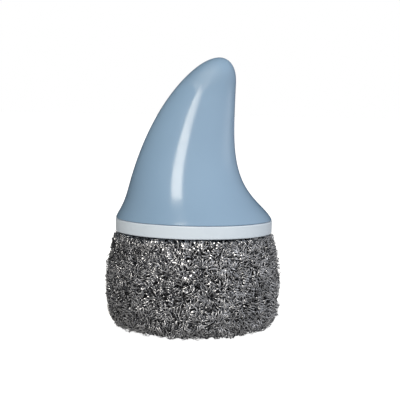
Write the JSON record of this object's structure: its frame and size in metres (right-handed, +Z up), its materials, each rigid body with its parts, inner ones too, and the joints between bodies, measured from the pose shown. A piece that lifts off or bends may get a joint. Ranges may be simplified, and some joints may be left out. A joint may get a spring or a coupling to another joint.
{
  "type": "pot scrubber",
  "caption": "Hand pot scrubber: a hollow fin-shaped plastic grip on a round screw-on collar that holds a drum of curled stainless wire for scouring pans.",
  "frame": {"origin": "middle of the wire drum's flat foot, on the collar's axis", "axes": "+Z up along the collar's axis, +X the way the fin's tip leans, +Y away from the picture's viewer"},
  "size_m": [0.0764, 0.0764, 0.1216],
  "materials": {
    "handle_plastic": "moulded gloss, light grey-blue",
    "collar_plastic": "moulded gloss, white",
    "plate_plastic": "moulded, satin white",
    "seal_rubber": "matt black",
    "fastener_steel": "plain stainless",
    "scourer_wire": "bright curled stainless ribbon"
  },
  "bodies": {
    "handle": {"fin_shell": "handle_plastic", "base_plate": "plate_plastic", "base_seal": "seal_rubber", "base_plate_screws": "fastener_steel"},
    "scourer_head": {"anchor_plate": "plate_plastic", "anchor_staples": "fastener_steel", "scourer_pad": "scourer_wire"},
    "collar": {"collar_ring": "collar_plastic", "retaining_ring": "fastener_steel"}
  },
  "joints": [
    {"name": "head_drop", "type": "slide", "parent": "handle", "child": "scourer_head", "axis": [0, 0, -1], "range_m": [0, 0.0045]},
    {"name": "collar_turn", "type": "hinge", "parent": "scourer_head", "child": "collar", "pos_m": [0, 0, 0.0468], "axis": [0, 0, -1], "range_deg": [0, 540]}
  ],
  "couplings": [
    {"joint": "collar_turn", "follows": "head_drop", "rad_per_m": 2094.4}
  ]
}
